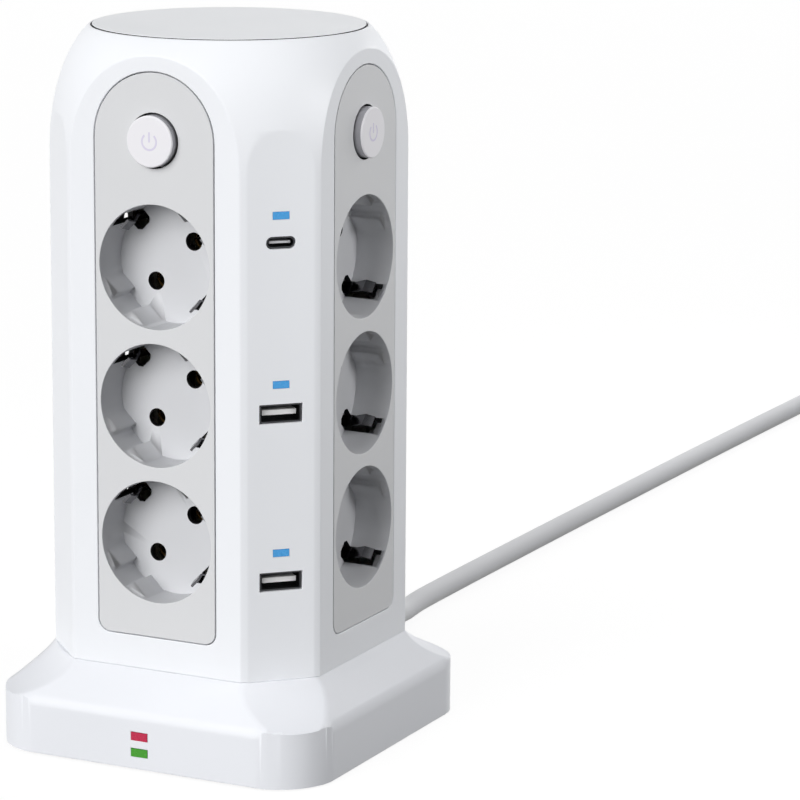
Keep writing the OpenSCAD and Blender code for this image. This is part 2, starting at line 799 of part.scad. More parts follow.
// USB board with its lead down to the base
module usb_board() {
    foot = usb_a_zs[0] - usb_board_end;
    top = usb_c_z + lamp_rise_c + usb_board_end / 2;
    lead_u = usb_board_w / 4;
    lead_w = -usb_board_front - board_t / 2;
    lead_end_w = lead_r - corner_face_d;
    color("darkgreen") on_corner() difference() {
        translate([-usb_board_w / 2, foot, -usb_board_front - board_t])
            cube([usb_board_w, top - foot, board_t]);
        for (z = usb_boss_zs) translate([0, z, -usb_board_front - board_t - over])
            cylinder(r = screw_clear_r, h = board_t + 2 * over);
    }
    color("crimson") on_corner() for (s = [-1, 1]) tube([
        [s * lead_u, foot + over, lead_w], [s * lead_u, base_h + over, lead_w],
        [s * lead_u, pcb_top + over, lead_end_w], [s * lead_u, pcb_top, lead_end_w]
    ], usb_lead_d / 2, wire_sides, [1, 0, 0]);
}

// Steel shells of the two USB-A outlets
module usb_a_shells() {
    color("silver") on_corner() for (z = usb_a_zs) translate([0, z, -usb_board_front]) difference() {
        linear_extrude(usb_board_front - usb_recess) square(usb_a_size, center = true);
        translate([0, 0, usb_board_front - usb_recess - usb_mouth_l])
            linear_extrude(usb_mouth_l + over) square(usb_a_mouth, center = true);
    }
}

// White tongues of the two USB-A outlets
module usb_a_inserts() {
    color("white") on_corner() for (z = usb_a_zs)
        translate([0, z + usb_a_tongue_rise, -usb_recess - usb_mouth_l])
            linear_extrude(usb_mouth_l - usb_tongue_recess) square(usb_a_tongue, center = true);
}

// Steel shell of the USB-C outlet
module usb_c_shell() {
    color("silver") on_corner() translate([0, usb_c_z, -usb_board_front]) difference() {
        linear_extrude(usb_board_front - usb_recess) stadium(usb_c_size);
        translate([0, 0, usb_board_front - usb_recess - usb_mouth_l])
            linear_extrude(usb_mouth_l + over) stadium(usb_c_mouth);
    }
}

// Tongue of the USB-C outlet
module usb_c_insert() {
    color("dimgray") on_corner() translate([0, usb_c_z, -usb_recess - usb_mouth_l])
        linear_extrude(usb_mouth_l - usb_tongue_recess / 2) square(usb_c_tongue, center = true);
}

// Clear blue guides that bring the light from the board to the corner face
module usb_light_guides() {
    color("dodgerblue") on_corner() for (z = usb_lamp_zs)
        translate([0, z, fit_gap - usb_board_front]) linear_extrude(usb_board_front - fit_gap)
            square([usb_lamp_w, usb_lamp_h], center = true);
}

// Trapezoid of the base's outline along one axis, drawn in by inset and closed at top_z
module base_section(inset, top_z) {
    half = base_half - inset;
    shift_x = inset * skirt_rise / skirt_l;
    shift_z = inset * skirt_run / skirt_l;
    slope = skirt_run / skirt_rise;
    side_top = base_side_h - shift_z + (inset - shift_x) / slope;
    top_half = face_d - shift_x + (base_h - shift_z - top_z) * slope;
    polygon([
        [-half, base_foot_z], [half, base_foot_z], [half, side_top],
        [top_half, top_z], [-top_half, top_z], [-half, side_top]
    ]);
}

// Round limit of the scooped corners: a shallow bowl from the column's foot out to the rim
module scoop_limit(inset) {
    centre_r = scoop_top_r + scoop_w;
    centre_z = base_h;
    w = scoop_w + inset;
    h = scoop_h + inset;
    rotate_extrude() polygon(concat(
        [[0, base_foot_z - over], [centre_r + base_w, base_foot_z - over],
            [centre_r + base_w, centre_z - h], [centre_r, centre_z - h]],
        [for (k = [0:scoop_steps]) let (a = 90 * (1 - k / scoop_steps))
            [centre_r - w * pow(cos(a), scoop_bend), centre_z - h * pow(sin(a), scoop_bend)]],
        [[centre_r - w, centre_z + over], [0, centre_z + over]]
    ));
}

// Solid of the base's outside or of its hollow
module base_solid(inset, top_z) {
    intersection() {
        translate([0, base_w, 0]) rotate([90, 0, 0]) linear_extrude(2 * base_w) base_section(inset, top_z);
        rotate([0, 0, 90]) translate([0, base_w, 0]) rotate([90, 0, 0])
            linear_extrude(2 * base_w) base_section(inset, top_z);
        translate([0, 0, base_foot_z - over]) linear_extrude(base_h + 2 * over)
            round_square(base_half - inset, base_corner_r - inset);
        scoop_limit(inset);
    }
}

// Base housing with its deck, posts and openings
module base_housing() {
    color("whitesmoke") difference() {
        union() {
            difference() {
                base_solid(0, base_h);
                base_solid(base_wall_t, deck_z);
                translate([0, 0, base_foot_z - over]) linear_extrude(2 * over)
                    round_square(base_half - base_wall_t, base_corner_r - base_wall_t);
            }
            intersection() {
                base_solid(base_wall_t / 2, deck_z);
                for (k = [0:3]) rotate([0, 0, 90 * k])
                    translate([base_post_at[0], base_post_at[1], plate_top])
                        cylinder(r = base_post_r, h = deck_z - plate_top);
            }
        }
        translate([0, 0, deck_z - over]) cylinder(r = deck_r, h = deck_t + 2 * over);
        for (k = [0:3]) rotate([0, 0, 90 * k]) {
            translate([column_boss_u, column_boss_u, deck_z - over])
                cylinder(r = base_screw_clear_r, h = deck_t + 2 * over);
            translate([base_post_at[0], base_post_at[1], plate_top - over])
                cylinder(r = base_screw_hole_r, h = base_screw_l);
        }
        for (z = [red_lamp_z, green_lamp_z])
            translate([-lamp_shift, -base_half + base_wall_t + over, z]) rotate([90, 0, 0])
                linear_extrude(base_wall_t + 2 * over)
                    square([lamp_w + 2 * lamp_window_gap, lamp_h + 2 * lamp_window_gap], center = true);
        translate([0, base_half - base_wall_t - over, cord_exit_z]) rotate([-90, 0, 0])
            cylinder(r = relief_hole_r, h = base_wall_t + 2 * over);
    }
}

// Bottom plate with feet recesses, board pegs, clamp posts and the lamp board's ribs
module base_plate() {
    screw_seat = plate_top - base_foot_z - base_screw_head_h - lamp_window_gap;
    color("gray") difference() {
        union() {
            translate([0, 0, base_foot_z]) linear_extrude(plate_t) round_square(plate_half, plate_corner_r);
            for (x = [-1, 1], y = [pcb_front + pcb_inset, pcb_rear - pcb_inset])
                translate([x * (pcb_half_w - pcb_inset), y, base_foot_z]) {
                    cylinder(r = standoff_r, h = pcb_z - base_foot_z);
                    cylinder(r = peg_r, h = pcb_top + peg_l - base_foot_z);
                }
            for (s = [-1, 1]) translate([s * clamp_post_u, base_half - clamp_inset, base_foot_z])
                cylinder(r = clamp_post_r, h = cord_exit_z + cord_r - base_foot_z);
            for (s = [-1, 1], y = [indicator_y - rib_t - fit_gap, indicator_y + board_t + fit_gap])
                translate([s * (indicator_half - rib_l / 2) - lamp_shift - rib_l / 2, y, base_foot_z])
                    cube([rib_l, rib_t, plate_t + rib_h]);
            translate([-clamp_post_u, base_half - clamp_inset - clamp_size[1] / 2, base_foot_z])
                cube([2 * clamp_post_u, clamp_size[1], cord_exit_z - cord_r - base_foot_z]);
        }
        for (k = [0:3]) rotate([0, 0, 90 * k]) {
            translate([rubber_u, rubber_u, base_foot_z - over])
                cylinder(r = rubber_r + fit_gap, h = rubber_t - foot_proud + over);
            translate([base_post_at[0], base_post_at[1], base_foot_z - over])
                cylinder(r = base_screw_clear_r, h = plate_t + 2 * over);
            translate([base_post_at[0], base_post_at[1], base_foot_z - over])
                cylinder(r = base_screw_head_r + fit_gap, h = plate_t - screw_seat + over);
        }
        for (s = [-1, 1]) translate([s * clamp_post_u, base_half - clamp_inset, plate_top])
            cylinder(r = screw_hole_r, h = cord_exit_z + cord_r);
    }
}

// Four rubber feet in the plate's recesses
module rubber_feet() {
    color("dimgray") for (k = [0:3]) rotate([0, 0, 90 * k]) translate([rubber_u, rubber_u, 0])
        cylinder(r = rubber_r, h = rubber_t);
}

// Screws of the base: four in the plate and four up into the column
module base_screws() {
    screw_seat = plate_top - base_foot_z - base_screw_head_h - lamp_window_gap;
    color("silver") for (k = [0:3]) rotate([0, 0, 90 * k]) {
        translate([base_post_at[0], base_post_at[1], plate_top - screw_seat]) rotate([180, 0, 0])
            screw(base_screw_r, base_screw_l, base_screw_head_r, base_screw_head_h);
        translate([column_boss_u, column_boss_u, deck_z]) rotate([180, 0, 0])
            screw(base_screw_r, base_screw_l, base_screw_head_r, base_screw_head_h);
    }
}

// Small screws of the panels, the contact covers and the USB board
module case_screws() {
    color("silver") {
        for (k = [0:3]) on_face(k) {
            at_pairs(ear_u, ear_zs) translate([0, 0, -ear_back]) mirror([0, 0, 1])
                screw(screw_r, screw_l, screw_head_r, screw_head_h);
            at_pairs(post_u, ear_zs) translate([0, 0, -post_back - cover_ear_t]) mirror([0, 0, 1])
                screw(screw_r, screw_l, screw_head_r, screw_head_h);
        }
        on_corner() for (z = usb_boss_zs) translate([0, z, -usb_board_front - board_t])
            mirror([0, 0, 1]) screw(screw_r, screw_l, screw_head_r, screw_head_h);
    }
}

// Board of the surge protection and the USB supply
module power_board() {
    color("darkgreen") difference() {
        translate([-pcb_half_w, pcb_front, pcb_z]) cube([2 * pcb_half_w, pcb_rear - pcb_front, board_t]);
        for (x = [-1, 1], y = [pcb_front + pcb_inset, pcb_rear - pcb_inset])
            translate([x * (pcb_half_w - pcb_inset), y, pcb_z - over])
                cylinder(r = peg_r + thread_gap, h = board_t + 2 * over);
    }
}

// Transformer of the USB supply
module usb_transformer() {
    core = transformer_size;
    color("gold") translate([transformer_at[0] - core[0] / 2, transformer_at[1] - core[1] / 2, pcb_top])
        cube(core);
    color("dimgray") translate([transformer_at[0] - core[0] / 3, transformer_at[1] - core[1] / 3, pcb_top])
        cube([core[0] * 2 / 3, core[1] * 2 / 3, core[2] + over]);
}

// Film capacitor and two round capacitors
module capacitors() {
    color("orange") translate([film_cap_at[0] - film_cap_size[0] / 2,
            film_cap_at[1] - film_cap_size[1] / 2, pcb_top])
        cube(film_cap_size);
    color("midnightblue") for (x = bulk_cap_xs) translate([x, bulk_cap_y, pcb_top])
        cylinder(r = bulk_cap_r, h = bulk_cap_h);
}

// Three disc varistors on their leads
module varistors() {
    disc_z = varistor_lift + varistor_r;
    color("royalblue") for (x = varistor_xs) translate([x, varistor_y, pcb_top]) {
        translate([-varistor_t / 2, 0, disc_z]) rotate([0, 90, 0]) cylinder(r = varistor_r, h = varistor_t);
        for (s = [-1, 1]) translate([0, s * varistor_lead_y, 0]) cylinder(r = varistor_lead_r, h = disc_z);
    }
}

// Fuse in the live line
module line_fuse() {
    axis_z = pcb_top + fuse_r + fit_gap + fuse_cap_t;
    color("lightblue") translate([fuse_at[0] - fuse_l / 2, fuse_at[1], axis_z])
        rotate([0, 90, 0]) {
            cylinder(r = fuse_r, h = fuse_l);
            for (t = [0, fuse_l - fuse_cap_l]) translate([0, 0, t])
                cylinder(r = fuse_r + fuse_cap_t, h = fuse_cap_l);
        }
}

// Terminal block that joins the cord to the wires
module terminal_block() {
    color("ivory") difference() {
        translate([-terminal_size[0] / 2, terminal_y - terminal_size[1] / 2, plate_top])
            cube(terminal_size);
        for (x = terminal_xs) {
            translate([x, terminal_y + terminal_size[1] / 2 + over, cord_exit_z]) rotate([90, 0, 0])
                cylinder(r = terminal_hole_r, h = terminal_size[1] / 3 + over);
            translate([x, terminal_y, plate_top + terminal_size[2] * 2 / 3])
                cylinder(r = terminal_hole_r, h = terminal_size[2]);
        }
    }
}

// Upright board with the two light sources of the base lamps
module indicator_board() {
    color("darkgreen") translate([-lamp_shift - indicator_half, indicator_y, plate_top + fit_gap])
        cube([2 * indicator_half, board_t, indicator_h]);
    color("white") for (z = [red_lamp_z, green_lamp_z]) translate([-lamp_shift, indicator_y + over, z])
        rotate([90, 0, 0]) cylinder(r = led_r, h = led_l + over);
}

// Lens of a base lamp, with a flange behind the wall
module lamp_lens(z) {
    translate([-lamp_shift, -base_half, z]) rotate([90, 0, 0]) {
        translate([0, 0, -lamp_back]) linear_extrude(lamp_back) square([lamp_w, lamp_h], center = true);
        translate([0, 0, -lamp_back]) linear_extrude(lamp_flange_t)
            square([lamp_w + 2 * lamp_flange, lamp_h + 2 * lamp_flange], center = true);
    }
}

// Red lamp
module red_lamp() {
    color("crimson") lamp_lens(red_lamp_z);
}

// Green lamp
module green_lamp() {
    color("limegreen") lamp_lens(green_lamp_z);
}

// Clamp bar over the cord, with its two screws
module cord_clamp() {
    y = base_half - clamp_inset;
    z = cord_exit_z + cord_r;
    color("gray") difference() {
        translate([-clamp_size[0] / 2, y - clamp_size[1] / 2, z]) cube(clamp_size);
        for (s = [-1, 1]) translate([s * clamp_post_u, y, z - over])
            cylinder(r = screw_clear_r, h = clamp_size[2] + 2 * over);
    }
    color("silver") for (s = [-1, 1]) translate([s * clamp_post_u, y, z + clamp_size[2]])
        screw(screw_r, screw_l, screw_head_r, screw_head_h);
}

// Point in face k's own frame, given for the whole object
function on_face_point(k, u, z, depth) =
    let (d = face_d - depth)
    [u * cos(90 * k) + d * sin(90 * k), u * sin(90 * k) - d * cos(90 * k), z];

// Core of the cord, from its sheath to the terminal at x
module core_end(x, side) {
    start = base_half - base_wall_t - relief_flange_t - inner_cord_l;
    mouth = terminal_y + terminal_size[1] / 2;
    tube([
        [side * core_spread, start, cord_exit_z], [side * core_spread, start - over / 2, cord_exit_z],
        [x, mouth + over / 2, cord_exit_z], [x, mouth - terminal_size[1] / 4, cord_exit_z]
    ], wire_d / 2, wire_sides, [0, 0, 1]);
}

// Live wires: cord core, trunk up the middle, splice and a branch to each switch
module live_wires() {
    x = terminal_xs[0];
    top = plate_top + terminal_size[2];
    splice_z = button_z - splice_l / 2;
    reach = face_d - switch_back - blade_l;
    color("saddlebrown") {
        upright_wire([[x, terminal_y, top - wire_d / 2], [x, terminal_y, top + wire_rise],
            [0, 0, trunk_turn_z], [0, 0, splice_z + over]], wire_d);
        translate([0, 0, splice_z]) cylinder(r = splice_r, h = splice_l);
        for (k = [0:3]) rotate([0, 0, 90 * k]) translate([-blade_u, 0, button_z]) rotate([90, 0, 0])
            cylinder(d = wire_d, h = reach);
        core_end(x, -1);
    }
}

// Neutral wires: cord core, riser and a chain round the feet of the four rails
module neutral_wires() {
    x = terminal_xs[1];
    top = plate_top + terminal_size[2];
    depth = sleeve_back + rail_t + wire_d / 2;
    ends = [for (k = [2, 3, 4, 5]) on_face_point(k, -pin_off, neutral_foot_z + wire_d / 2, depth)];
    color("royalblue") {
        upright_wire([[x, terminal_y, top - wire_d / 2], [x, terminal_y, top + wire_rise],
            ends[0] - [0, 0, riser_l], ends[0]], wire_d);
        tube(ends, wire_d / 2, wire_sides, [0, 0, 1]);
        core_end(x, 0);
    }
}

// Earth wires: cord core, riser and a chain round the feet of the four earth rails
module earth_wires() {
    x = terminal_xs[2];
    top = plate_top + terminal_size[2];
    depth = earth_back + earth_lap + wire_d / 2;
    ends = [for (k = [2, 3, 4, 5]) on_face_point(k, 0, earth_foot_z + wire_d / 2, depth)];
    color("yellowgreen") {
        upright_wire([[x, terminal_y, top - wire_d / 2], [x, terminal_y, top + wire_rise],
            ends[0] - [0, 0, riser_l], ends[0]], wire_d);
        tube(ends, wire_d / 2, wire_sides, [0, 0, 1]);
        core_end(x, 1);
    }
}

// Moulded strain relief: inner cord end, flange, neck in the wall, flange and tapered sleeve
module strain_relief() {
    inner = -base_wall_t - relief_flange_t;
    color("whitesmoke") translate([0, base_half, cord_exit_z]) rotate([-90, 0, 0]) rotate_extrude()
        polygon([
            [0, inner - inner_cord_l], [cord_r, inner - inner_cord_l], [cord_r, inner],
            [relief_flange_r, inner], [relief_flange_r, -base_wall_t],
            [relief_neck_r, -base_wall_t], [relief_neck_r, 0], [relief_flange_r, 0],
            [relief_flange_r, relief_flange_t], [relief_start_r, relief_flange_t],
            [relief_tip_r, relief_l], [0, relief_l]
        ]);
}

// Smooth curve through hand-chosen points: each span is cut into steps of about run_ring_step
function spline(p0, p1, p2, p3, t) = 0.5 * (2 * p1 + (p2 - p0) * t
    + (2 * p0 - 5 * p1 + 4 * p2 - p3) * t * t + (3 * p1 - p0 - 3 * p2 + p3) * t * t * t);
function smooth_route(p) = concat([for (k = [0:len(p) - 2])
    let (a = p[max(k - 1, 0)], b = p[k], c = p[k + 1], d = p[min(k + 2, len(p) - 1)])
    let (n = max(1, round(norm(c - b) / run_ring_step)))
    for (j = [0:n - 1]) spline(a, b, c, d, j / n)], [p[len(p) - 1]]);

// Rings of a tube along a path, and the tube as triangles
function unit(v) = v / norm(v);
function heading(p, k) = unit(p[min(k + 1, len(p) - 1)] - p[max(k - 1, 0)]);
function ring(p, k, r, sides, ref) =
    let (t = heading(p, k), side = unit(cross(t, ref)), lift = cross(side, t))
    [for (j = [0:sides - 1]) let (a = 360 * (j + 0.5) / sides)
        p[k] + r * (cos(a) * side + sin(a) * lift)];
module tube(p, r, sides, ref) {
    points = [for (k = [0:len(p) - 1]) each ring(p, k, r, sides, ref)];
    last = len(p) - 1;
    walls = [for (k = [0:last - 1], j = [0:sides - 1]) let (i = (j + 1) % sides)
        each [[k * sides + j, k * sides + i, (k + 1) * sides + i],
            [k * sides + j, (k + 1) * sides + i, (k + 1) * sides + j]]];
    near_cap = [for (j = [1:sides - 2]) [0, j + 1, j]];
    far_cap = [for (j = [1:sides - 2]) [last * sides, last * sides + j, last * sides + j + 1]];
    polyhedron(points, concat(walls, near_cap, far_cap));
}

// Cord from the strain relief to the coil
module cord_run() {
    color("gainsboro") tube(smooth_route(cord_route), cord_r, run_sides, [0, 0, 1]);
}

// Centre line of the coil's turns, at steady steps
coil_total = 2 * coil_turns_in + 0.5;
function coil_r(t) = coil_start_r - coil_step * min(t, coil_total - t);
function coil_lift(t) = coil_step * min(1, max(0, (t - coil_turns_in) * 2));
function coil_point(t) = [
    coil_centre[0] - coil_r(t) * cos(360 * t),
    coil_centre[1] + coil_r(t) * sin(360 * t),
    coil_floor_z + coil_lift(t)
];
coil_turn_count = coil_total * coil_rings;
coil_path = concat(
    [cord_route[len(cord_route) - 1], cord_route[len(cord_route) - 1] + [0, cord_d, 0]],
    [for (k = [1:coil_turn_count - 1]) coil_point(k / coil_rings)],
    smooth_route(tail_route)
);

// Least gap of the coil to itself, measured between points over half a turn apart
coil_gap = min([for (i = [0:len(coil_path) - 1], j = [i + coil_rings / 2:1:len(coil_path) - 1])
    norm(coil_path[i] - coil_path[j])]) - cord_d;
echo(coil_gap = coil_gap);

// Coil of the cord with its straight lead-in and its tail to the plug
module cord_coil() {
    color("gainsboro") tube(coil_path, cord_r, coil_sides, [0, 0, 1]);
}

// Frame of the plug: z runs from its face back to the cord
module on_plug() {
    translate(plug_at - [0, plug_l + plug_relief_l, 0]) rotate([-90, 0, 0]) children();
}

// Plug body with its guide flats, ribs, pin bores and earth pockets
module plug_body() {
    color("gainsboro") on_plug() difference() {
        rotate_extrude() polygon(concat(
            [[0, 0], [plug_r, 0], [plug_r, plug_front_l]],
            [for (k = [0:len(plug_back_ts) - 1]) [plug_back_rs[k], plug_back_ts[k]]],
            [[plug_relief_r, plug_l], [plug_relief_tip_r, plug_l + plug_relief_l],
                [0, plug_l + plug_relief_l]]
        ));
        for (s = [-1, 1]) {
            translate([s * pin_pitch / 2, 0, -over])
                cylinder(r = pin_root_r + thread_gap, h = pin_embed + over);
            for (t = [-1, 1]) translate([s > 0 ? plug_flat : -plug_r - over,
                    t > 0 ? plug_rib_w / 2 : -plug_r - plug_rib_w / 2, -over])
                cube([plug_r + over - plug_flat, plug_r, plug_guide_l + over]);
            translate([-clip_pocket_w / 2, s > 0 ? plug_r - clip_pocket : -plug_r - over, -over])
                cube([clip_pocket_w, clip_pocket + over, plug_guide_l + over]);
        }
    }
}

// Two round pins with narrower roots and rounded tips
module plug_pins() {
    r = pin_d / 2;
    color("silver") on_plug() for (s = [-1, 1]) translate([s * pin_pitch / 2, 0, 0]) rotate_extrude()
        polygon(concat(
            [[0, pin_embed], [pin_root_r, pin_embed], [pin_root_r, -pin_root_rise], [r, -pin_root_rise],
                [r, pin_tip_r - pin_l]],
            [for (a = [15:15:90]) [r - pin_tip_r * (1 - cos(a)), pin_tip_r * (1 - sin(a)) - pin_l]],
            [[0, -pin_l]]
        ));
}

// Earth contacts in the pockets of the plug's sides
module plug_earth_clips() {
    color("silver") on_plug() for (s = [-1, 1])
        translate([-clip_w / 2, s > 0 ? plug_r - clip_pocket : clip_pocket - clip_t - plug_r, 0])
            cube([clip_w, clip_t, clip_l]);
}

for (k = [0:3]) {
    socket_panel(k);
    button(k);
    switch_body(k);
    contact_cover(k);
    live_rail(k);
    neutral_rail(k);
    earth_rail(k);
}
tower_shell();
top_lid();
base_housing();
base_plate();
rubber_feet();
base_screws();
case_screws();
usb_board();
usb_a_shells();
usb_a_inserts();
usb_c_shell();
usb_c_insert();
usb_light_guides();
power_board();
usb_transformer();
capacitors();
varistors();
line_fuse();
terminal_block();
indicator_board();
red_lamp();
green_lamp();
cord_clamp();
live_wires();
neutral_wires();
earth_wires();
strain_relief();
cord_run();
cord_coil();
plug_body();
plug_pins();
plug_earth_clips();
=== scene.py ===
"""Looks of the tower power strip: a white column with three sockets and a push button on each face.

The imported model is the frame. Moulded pieces are copies of its solids with their edges rounded, the
cord is a curve on the same route as its solids, and every other node keeps its shape and gets a
finish of its own.
"""
import json
import math

import bmesh
import bpy
from mathutils import Matrix, Vector


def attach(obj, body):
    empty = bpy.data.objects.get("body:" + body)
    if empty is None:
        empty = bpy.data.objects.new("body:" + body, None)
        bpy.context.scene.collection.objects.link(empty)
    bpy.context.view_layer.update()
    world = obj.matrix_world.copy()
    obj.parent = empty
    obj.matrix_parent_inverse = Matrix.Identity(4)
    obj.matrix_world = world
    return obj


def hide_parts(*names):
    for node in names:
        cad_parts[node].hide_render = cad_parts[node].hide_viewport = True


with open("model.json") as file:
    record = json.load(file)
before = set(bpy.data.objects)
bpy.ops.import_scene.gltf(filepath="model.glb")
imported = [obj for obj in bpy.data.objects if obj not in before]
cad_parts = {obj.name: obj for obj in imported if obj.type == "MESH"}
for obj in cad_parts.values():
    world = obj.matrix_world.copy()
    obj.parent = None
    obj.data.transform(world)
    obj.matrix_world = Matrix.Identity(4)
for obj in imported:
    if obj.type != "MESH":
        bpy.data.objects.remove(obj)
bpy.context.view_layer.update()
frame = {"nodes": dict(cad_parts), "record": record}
nodes = frame["nodes"]

FACES = ("front", "right", "rear", "left")
TOWER = "tower"

# Camera, solved from the photograph's outlines
CAMERA_PLACE = Vector((0.58903, -1.06900, 0.37244))
CAMERA_AZIMUTH = math.radians(26.304)
CAMERA_ELEVATION = math.radians(12.218)
CAMERA_ROLL = math.radians(0.372)
CAMERA_LENS = 175.14
CAMERA_SENSOR = 36.0
CAMERA_CLIP_END = 50


def add_camera():
    """The photograph's camera."""
    back = Vector((
        math.sin(CAMERA_AZIMUTH) * math.cos(CAMERA_ELEVATION),
        -math.cos(CAMERA_AZIMUTH) * math.cos(CAMERA_ELEVATION),
        math.sin(CAMERA_ELEVATION),
    ))
    level = Vector((0, 0, 1)).cross(back).normalized()
    upright = back.cross(level)
    across = level * math.cos(CAMERA_ROLL) + upright * math.sin(CAMERA_ROLL)
    up = upright * math.cos(CAMERA_ROLL) - level * math.sin(CAMERA_ROLL)
    data = bpy.data.cameras.new("camera")
    data.lens = CAMERA_LENS
    data.sensor_width = CAMERA_SENSOR
    data.clip_end = CAMERA_CLIP_END
    camera = bpy.data.objects.new("camera", data)
    bpy.context.collection.objects.link(camera)
    turn = Matrix((across, up, back)).transposed().to_4x4()
    camera.matrix_world = Matrix.Translation(CAMERA_PLACE) @ turn
    bpy.context.scene.camera = camera


# Cord: the points and the coil are those of the CAD, in metres
CORD_DIAMETER = 0.0076
CORD_ROUTE = [
    (0, 0.09035, 0.010), (0, 0.098, 0.010), (-0.0008, 0.112, 0.0086), (-0.0032, 0.126, 0.0058),
    (-0.0058, 0.140, 0.0039), (-0.0072, 0.156, 0.0038), (-0.0074, 0.190, 0.0038),
    (-0.0072, 0.240, 0.0038), (-0.0068, 0.300, 0.0038), (-0.0062, 0.360, 0.0038),
    (-0.0055, 0.420, 0.0038), (-0.0045, 0.480, 0.0038), (-0.0035, 0.530, 0.0038),
    (-0.003, 0.565, 0.0038), (-0.003, 0.580, 0.0038), (-0.003, 0.588, 0.0038),
]
TAIL_ROUTE = [
    (0.1035, 0.594, 0.0119), (0.1035, 0.584, 0.0129), (0.1035, 0.573, 0.0156),
    (0.1035, 0.563, 0.0178), (0.1035, 0.555, 0.0184), (0.1035, 0.547, 0.0184),
]
COIL_CENTRE = (0.05025, 0.602)
COIL_START_R = 0.05325
COIL_STEP = 0.0081
COIL_TURNS_IN = 2.5
COIL_TURNS = 2 * COIL_TURNS_IN + 0.5
COIL_FLOOR_Z = 0.0038
COIL_POINTS = 24
CORD_SIDES = 7
CORD_STEPS = 6


def coil_point(turn):
    """Point of the coil so many turns in. It spirals in, climbs a layer and spirals out again."""
    radius = COIL_START_R - COIL_STEP * min(turn, COIL_TURNS - turn)
    lift = COIL_STEP * min(1, max(0, (turn - COIL_TURNS_IN) * 2))
    angle = math.tau * turn
    return Vector((COIL_CENTRE[0] - radius * math.cos(angle),
                   COIL_CENTRE[1] + radius * math.sin(angle), COIL_FLOOR_Z + lift))


def cord_points():
    """The whole cord's points, from the strain relief through the coil to the plug."""
    route = [Vector(p) for p in CORD_ROUTE]
    lead_in = route[-1] + Vector((0, CORD_DIAMETER, 0))
    coil = [coil_point(k / COIL_POINTS) for k in range(1, round(COIL_TURNS * COIL_POINTS))]
    return route + [lead_in] + coil + [Vector(p) for p in TAIL_ROUTE]


def add_cord(material):
    """The free cord as one round, smooth curve."""
    points = cord_points()
    data = bpy.data.curves.new("mains_cord", "CURVE")
    data.dimensions = "3D"
    data.resolution_u = CORD_STEPS
    data.bevel_depth = CORD_DIAMETER / 2
    data.bevel_resolution = CORD_SIDES
    data.use_fill_caps = True
    spline = data.splines.new("BEZIER")
    spline.bezier_points.add(len(points) - 1)
    for k, knot in enumerate(spline.bezier_points):
        reach = (points[min(k + 1, len(points) - 1)] - points[max(k - 1, 0)]) / 6
        knot.co = points[k]
        knot.handle_left = points[k] - reach
        knot.handle_right = points[k] + reach
    cord = bpy.data.objects.new("mains_cord", data)
    bpy.context.collection.objects.link(cord)
    data.materials.append(material)
    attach(cord, TOWER)
    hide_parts("cord_run", "cord_coil")
    return cord


# Materials

def new_material(name):
    """An empty node material, with its tree and shader."""
    material = bpy.data.materials.new(name)
    material.use_nodes = True
    tree = material.node_tree
    return material, tree, tree.nodes["Principled BSDF"]


def noise(tree, scale, detail=2.0, stretch=(1, 1, 1)):
    """Noise on the piece's own coordinates, in cycles a metre."""
    where = tree.nodes.new("ShaderNodeTexCoord")
    mapping = tree.nodes.new("ShaderNodeMapping")
    mapping.inputs["Scale"].default_value = stretch
    texture = tree.nodes.new("ShaderNodeTexNoise")
    texture.inputs["Scale"].default_value = scale
    texture.inputs["Detail"].default_value = detail
    tree.links.new(where.outputs["Object"], mapping.inputs["Vector"])
    tree.links.new(mapping.outputs["Vector"], texture.inputs["Vector"])
    return texture.outputs["Fac"]


def spread(tree, value, low, high):
    """Maps the middle of a noise to the stretch from low to high."""
    remap = tree.nodes.new("ShaderNodeMapRange")
    remap.inputs["From Min"].default_value = 0.3
    remap.inputs["From Max"].default_value = 0.7
    remap.inputs["To Min"].default_value = low
    remap.inputs["To Max"].default_value = high
    tree.links.new(value, remap.inputs["Value"])
    return remap.outputs["Result"]


def two_tones(tree, value, first, second):
    """A colour between two tones."""
    mix = tree.nodes.new("ShaderNodeMix")
    mix.data_type = "RGBA"
    mix.inputs["A"].default_value = (*first, 1)
    mix.inputs["B"].default_value = (*second, 1)
    tree.links.new(value, mix.inputs["Factor"])
    return mix.outputs["Result"]


def add_bump(tree, shader, height, strength, depth):
    """Bump of a given depth in metres."""
    bump = tree.nodes.new("ShaderNodeBump")
    bump.inputs["Strength"].default_value = strength
    bump.inputs["Distance"].default_value = depth
    tree.links.new(height, bump.inputs["Height"])
    tree.links.new(bump.outputs["Normal"], shader.inputs["Normal"])


def shade(colour, share):
    """A colour made darker or lighter by a share."""
    return tuple(min(1.0, c * (1 + share)) for c in colour)


def linear(red, green, blue):
    """Screen colour of 0 to 255 as linear light."""
    return tuple(c / 12.92 if c <= 0.04045 else ((c + 0.055) / 1.055) ** 2.4
                 for c in (red / 255, green / 255, blue / 255))


def toned(tree, value, colour, darker, lighter):
    """A colour that wavers with a noise, by a share down and a share up."""
    return two_tones(tree, spread(tree, value, 0, 1), shade(colour, -darker), shade(colour, lighter))


